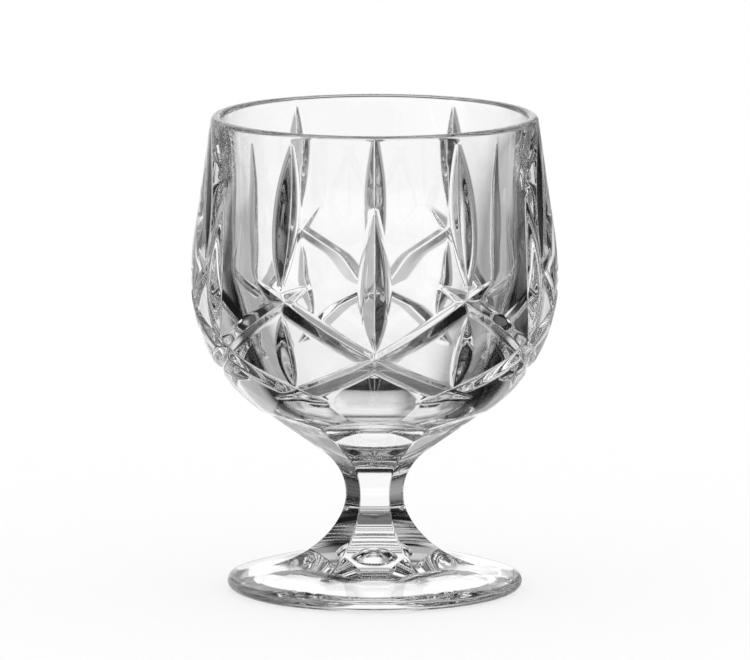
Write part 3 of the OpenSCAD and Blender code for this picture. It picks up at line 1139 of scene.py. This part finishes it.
@dataclass
class Foot:
    """The foot: a round plate with a rounded edge, ground to facets on top and hollow underneath."""

    facets: GroundFacets
    joint_z: float
    columns: Array
    radius: float = 34.05 * MM
    edge: float = 1.7 * MM
    margin_slope: float = math.radians(27)
    dish_share: float = 0.85
    dish_rise: float = 3 * MM
    hollow_share: float = 0.16
    hollow_rise: float = 3.5 * MM
    margin_blend: float = 0.15 * MM
    ease_turn: float = 0.3
    ray_lead: float = 0.5 * MM
    ray_drop: float = 1 * MM
    ray_depth: float = 4 * MM
    cove_rows: int = 44
    plate_rows: int = 40
    edge_rows: int = 9
    under_edge_rows: int = 11
    ring_rows: int = 5
    dish_rows: int = 24
    hollow_rows: int = 26

    def __post_init__(self) -> None:
        """Works out where the rounded edge meets the sloping margin."""
        self.edge_r = self.radius - self.edge
        self.margin_r = self.edge_r + self.edge * math.sin(self.margin_slope)
        self.margin_z = self.edge * (1 + math.cos(self.margin_slope))

    def _underside(self) -> Array:
        """Half section of the lower edge, the resting ring, the dish and the hollow at its centre.

        Returns:
            Radius and height of each row, and the angle at which its face looks out from the level line.
        """
        rows = [(self.edge_r + self.edge * math.cos(a), self.edge + self.edge * math.sin(a), a)
                for a in np.linspace(0, -math.pi / 2, self.under_edge_rows)]
        dish_r, hollow_r = self.radius * self.dish_share, self.radius * self.hollow_share
        rows += [(r, 0.0, -math.pi / 2) for r in np.linspace(self.edge_r, dish_r, self.ring_rows)[1:]]
        rows += cap_rows(dish_r, hollow_r, 0.0, self.dish_rise, self.dish_rows)
        rows += cap_rows(hollow_r, 0.0, rows[-1][1], self.hollow_rise, self.hollow_rows)
        return np.array(rows)

    def _distance(self, p: Array) -> Array:
        """Signed distance to the top and the edge of the foot.

        Args:
            p: The points.

        Returns:
            The distances, negative in the glass.
        """
        r, z = np.hypot(p[..., 0], p[..., 1]), p[..., 2]
        angle = np.arctan2(z - self.edge, r - self.edge_r)
        margin = ((r - self.margin_r) * math.sin(self.margin_slope)
                  + (z - self.margin_z) * math.cos(self.margin_slope))
        edge = np.hypot(r - self.edge_r, z - self.edge) - self.edge
        plate = np.where((angle > math.pi / 2 - self.margin_slope) | (r < self.edge_r), margin, edge)
        return smooth_max(plate, self.facets.distance(p), self.margin_blend)

    def _top_rays(self) -> tuple[Array, Array]:
        """Rays into the glass, row by row from the joint down the cove, over the plate and round the edge.

        Returns:
            Where the rays start, and their directions.
        """
        low, cove = self.facets.low, self.facets.lower_cove
        first = math.asin((low[1] - self.joint_z) / cove)
        starts, ways = [], []
        stretch = 1 / np.cos(self.columns)
        for angle in np.linspace(first, self.facets.foot_lean, self.cove_rows):
            d, z = low[0] - cove * math.cos(angle), low[1] - cove * math.sin(angle)
            ease = min((angle - first) / self.ease_turn, 1.0)
            aim = angle * ease * ease * (3 - 2 * ease)
            way = turned(-math.cos(aim), self.columns, -math.sin(aim))
            starts.append(turned(d * stretch, self.columns, z) - self.ray_lead * way)
            ways.append(way)
        begin = self.facets.foot_start[0] * stretch
        over_z = self.facets.foot_start[1] + self.ray_drop
        for share in np.linspace(0, 1, self.plate_rows)[1:]:
            r = begin + (self.margin_r - begin) * share
            starts.append(turned(r, self.columns, np.full_like(r, over_z)))
            ways.append(np.broadcast_to([0.0, 0.0, -1.0], starts[-1].shape))
        for angle in np.linspace(math.pi / 2 - self.margin_slope, 0, self.edge_rows)[1:]:
            r, z = self.edge_r + self.edge * math.cos(angle), self.edge + self.edge * math.sin(angle)
            way = turned(-math.cos(angle), self.columns, -math.sin(angle))
            starts.append(turned(r, self.columns, z) - self.ray_lead * way)
            ways.append(way)
        return np.concatenate(starts), np.concatenate(ways)

    def build(self) -> bpy.types.Object:
        """Models the foot.

        Returns:
            The foot's object.
        """
        solid = Solid(self._distance)
        start, way = self._top_rays()
        points = solid.reach(start, way, self.ray_depth)
        rows, columns = len(points) // len(self.columns), len(self.columns)
        obj = new_mesh("ground_foot", points, [], [f[::-1] for f in grid_faces(rows, columns)])
        complete_round(obj)
        under = self._underside()
        joined(obj, spun_columns("foot_underside", under[:, :2], self.columns))
        p = coordinates(obj)
        normals = solid.normals(p)
        set_turned_normals(normals, p, under, 1)
        smooth_with(obj, normals)
        return obj


def cap_rows(start: float, end: float, low: float, rise: float, steps: int) -> list[Row]:
    """Half section of a round hollow, seen from the glass above it.

    Args:
        start: Radius at the rim of the hollow.
        end: Radius at which the rows stop.
        low: Height of the rim.
        rise: Height of the full hollow over its rim.
        steps: Number of rows.

    Returns:
        Radius, height and angle of the outward look of each row after the rim.
    """
    ball = (start ** 2 + rise ** 2) / (2 * rise)
    return [(r, low + rise - ball + math.sqrt(ball * ball - r * r), -math.pi / 2 - math.asin(r / ball))
            for r in np.linspace(start, end, steps + 1)[1:]]


def spun_columns(name: str, rows: Sequence[tuple[float, float]], columns: Array) -> bpy.types.Object:
    """A turned surface with the columns of a sector, so that it welds to one.

    Args:
        name: Name of the new object.
        rows: Radius and height of each point of the half section.
        columns: Azimuths of the sector's columns.

    Returns:
        The object, complete round the axis.
    """
    points = np.concatenate([turned(r, columns, z) for r, z in rows])
    obj = new_mesh(name, points, [], [f[::-1] for f in grid_faces(len(rows), len(columns))])
    complete_round(obj)
    return obj


@dataclass(frozen=True)
class Panel:
    """A lit panel of the studio, with angles in degrees as seen from the glass.

    Azimuth 0 is straight behind the glass, and a level of 1 is white.
    """

    azimuth: float
    half_width: float
    soft_width: float
    elevation: float
    half_height: float
    soft_height: float
    level: float


@dataclass
class Studio:
    """White floor, lit panels and the camera of the photograph."""

    width_px: int = 750
    px_per_mm: float = 4.345
    elevation: float = math.radians(8.85)
    distance: float = 2.4
    aim: tuple[float, float, float] = (0.1 * MM, 0.0, 60.0 * MM)
    sensor: float = 36.0
    room: float = 0.01
    floor_lift: float = 0.6
    air_gap: float = 0.3 * MM
    floor_size: float = 6.0
    clip: tuple[float, float] = (0.1, 100.0)
    panels: tuple[Panel, ...] = (
        # Backdrop behind the glass, with dimmer wings
        Panel(-4, 15, 6, 4, 38, 6, 1.02),
        Panel(-29, 15, 6, -4, 30, 8, 0.5),
        Panel(17, 8, 5, -4, 30, 8, 0.35),
        # To the sides, and aslant towards the camera
        Panel(-102, 36, 4, 16, 20, 4, 1.1),
        Panel(-135, 30, 4, -14, 8, 4, 1.0),
        Panel(84, 18, 4, 4, 10, 4, 1.0),
        Panel(88, 20, 4, -22, 8, 4, 1.0),
        # On the camera's side
        Panel(180, 50, 5, -20, 10, 5, 1.0),
        Panel(180, 50, 5, 16, 8, 5, 0.8),
        # High and low behind the glass, and a faint glow from below
        Panel(-2, 28, 8, 54, 10, 6, 0.8),
        Panel(0, 34, 8, -52, 8, 5, 0.8),
        Panel(0, 180, 5, -90, 34, 10, 0.18),
        # Over and under the sides of the backdrop
        Panel(-22, 9, 5, 27, 11, 6, 0.7),
        Panel(18, 9, 5, 27, 11, 6, 0.65),
        Panel(-22, 9, 5, -30, 9, 6, 0.9),
        Panel(18, 9, 5, -30, 9, 6, 0.6),
        # Faint fill in the dark gaps beside the backdrop
        Panel(-54, 5, 10, 0, 16, 10, 0.1),
        Panel(46, 5, 10, 0, 16, 10, 0.16),
    )

    def camera(self) -> bpy.types.Object:
        """Sets up the camera at the photograph's angle.

        Returns:
            The camera.
        """
        data = bpy.data.cameras.new("camera")
        data.sensor_width = self.sensor
        data.sensor_fit = "HORIZONTAL"
        data.lens = self.sensor * self.distance / (self.width_px / self.px_per_mm * MM)
        data.clip_start, data.clip_end = self.clip
        camera = bpy.data.objects.new("camera", data)
        bpy.context.scene.collection.objects.link(camera)
        aim = Vector(self.aim)
        away = Vector((0, -math.cos(self.elevation), math.sin(self.elevation)))
        camera.location = aim + away * self.distance
        camera.rotation_euler = away.to_track_quat("Z", "Y").to_euler()
        bpy.context.scene.camera = camera
        return camera

    def world(self) -> None:
        """Lights the room: white all round for the camera and the floor, and the panels for the glass."""
        world = bpy.data.worlds.new("studio")
        bpy.context.scene.world = world
        world.use_nodes = True
        tree = world.node_tree
        tree.nodes.clear()
        link = tree.links.new

        def node(kind: str, **inputs: object) -> bpy.types.Node:
            """Adds a node.

            Args:
                kind: Type of the node.
                **inputs: Inputs to set or link by number, as i0, i1 and so on, and settings by name.

            Returns:
                The node.
            """
            made = tree.nodes.new(kind)
            for key, value in inputs.items():
                if key.startswith("i") and key[1:].isdigit():
                    socket = made.inputs[int(key[1:])]
                    if isinstance(value, bpy.types.NodeSocket):
                        link(value, socket)
                    else:
                        socket.default_value = value
                else:
                    setattr(made, key, value)
            return made

        def calc(operation: str, a: object, b: object = 0.0) -> bpy.types.NodeSocket:
            """Output of one sum."""
            return node("ShaderNodeMath", operation=operation, i0=a, i1=b).outputs[0]

        coords = node("ShaderNodeTexCoord").outputs["Generated"]
        total = None
        for panel in self.panels:
            spun_way = node("ShaderNodeVectorRotate", rotation_type="Z_AXIS", i0=coords,
                            i3=math.radians(panel.azimuth))
            split = node("ShaderNodeSeparateXYZ", i0=spun_way.outputs[0])
            level = None
            for angle, middle, half, soft in (
                    (calc("ARCTAN2", split.outputs[0], split.outputs[1]), 0.0,
                     panel.half_width, panel.soft_width),
                    (calc("ARCSINE", split.outputs[2]), panel.elevation,
                     panel.half_height, panel.soft_height)):
                off = calc("ABSOLUTE", calc("SUBTRACT", angle, math.radians(middle)))
                ramp = node("ShaderNodeMapRange", interpolation_type="SMOOTHSTEP", i0=off,
                            i1=math.radians(half + soft), i2=math.radians(half - soft), i3=0.0, i4=1.0)
                level = ramp.outputs[0] if level is None else calc("MULTIPLY", level, ramp.outputs[0])
            level = calc("MULTIPLY", level, panel.level)
            total = level if total is None else calc("MAXIMUM", total, level)
        total = calc("MAXIMUM", total, self.room)
        room = node("ShaderNodeBackground", i0=total)
        white = node("ShaderNodeBackground", i0=WHITE)
        path = node("ShaderNodeLightPath")
        seen = calc("MAXIMUM", path.outputs["Is Glossy Ray"], path.outputs["Is Transmission Ray"])
        half_bounce = 0.5
        seen = calc("MULTIPLY", seen, calc("LESS_THAN", path.outputs["Diffuse Depth"], half_bounce))
        mix = node("ShaderNodeMixShader", i0=seen, i1=white.outputs[0], i2=room.outputs[0])
        out = tree.nodes.new("ShaderNodeOutputWorld")
        link(mix.outputs[0], out.inputs["Surface"])

    def floor(self) -> bpy.types.Object:
        """A white floor that keeps a soft shadow; the glass sees the panels instead of it.

        Returns:
            The floor.
        """
        deselect_all()
        bpy.ops.mesh.primitive_plane_add(size=self.floor_size, location=(0, 0, -self.air_gap))
        floor = bpy.context.object
        floor.name = "floor"
        floor.data.materials.append(FloorFinish(self.floor_lift).material())
        floor.visible_transmission = False
        floor.visible_glossy = False
        floor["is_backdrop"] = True
        return floor


def main() -> None:
    """Builds the glass and the studio."""
    logging.basicConfig(level=logging.INFO, format="%(name)s: %(message)s")
    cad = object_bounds()
    scene = bpy.context.scene
    scene.view_settings.view_transform = "Standard"
    scene.cycles.max_bounces = scene.cycles.transmission_bounces = scene.cycles.glossy_bounces = BOUNCES
    joint_low, joint_high = float(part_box("stem")[0][2]), float(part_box("stem")[1][2])
    columns = np.radians(COLUMN_DEGREES)
    wall, facets = BowlWall(joint_high, float(cad[1][2]) - joint_high), GroundFacets(joint_high)
    bowl = Bowl(wall, facets, CutPattern(wall), joint_high, columns).build()
    stem = Stem(facets, joint_low, joint_high, columns).build()
    foot = Foot(facets, joint_low, columns).build()
    for obj, node in ((bowl, "bowl"), (stem, "stem"), (foot, "foot")):
        obj.data.materials.clear()
        obj.data.materials.append(GlassFinish(f"{node} glass").material())
        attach(obj, "root")
        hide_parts(node)
        LOG.info("%s: %d vertices", obj.name, len(obj.data.vertices))
    studio = Studio()
    studio.camera()
    studio.world()
    studio.floor()
    seen = np.concatenate([coordinates(obj) for obj in (bowl, stem, foot)])


if __name__ == "__main__":
    main()
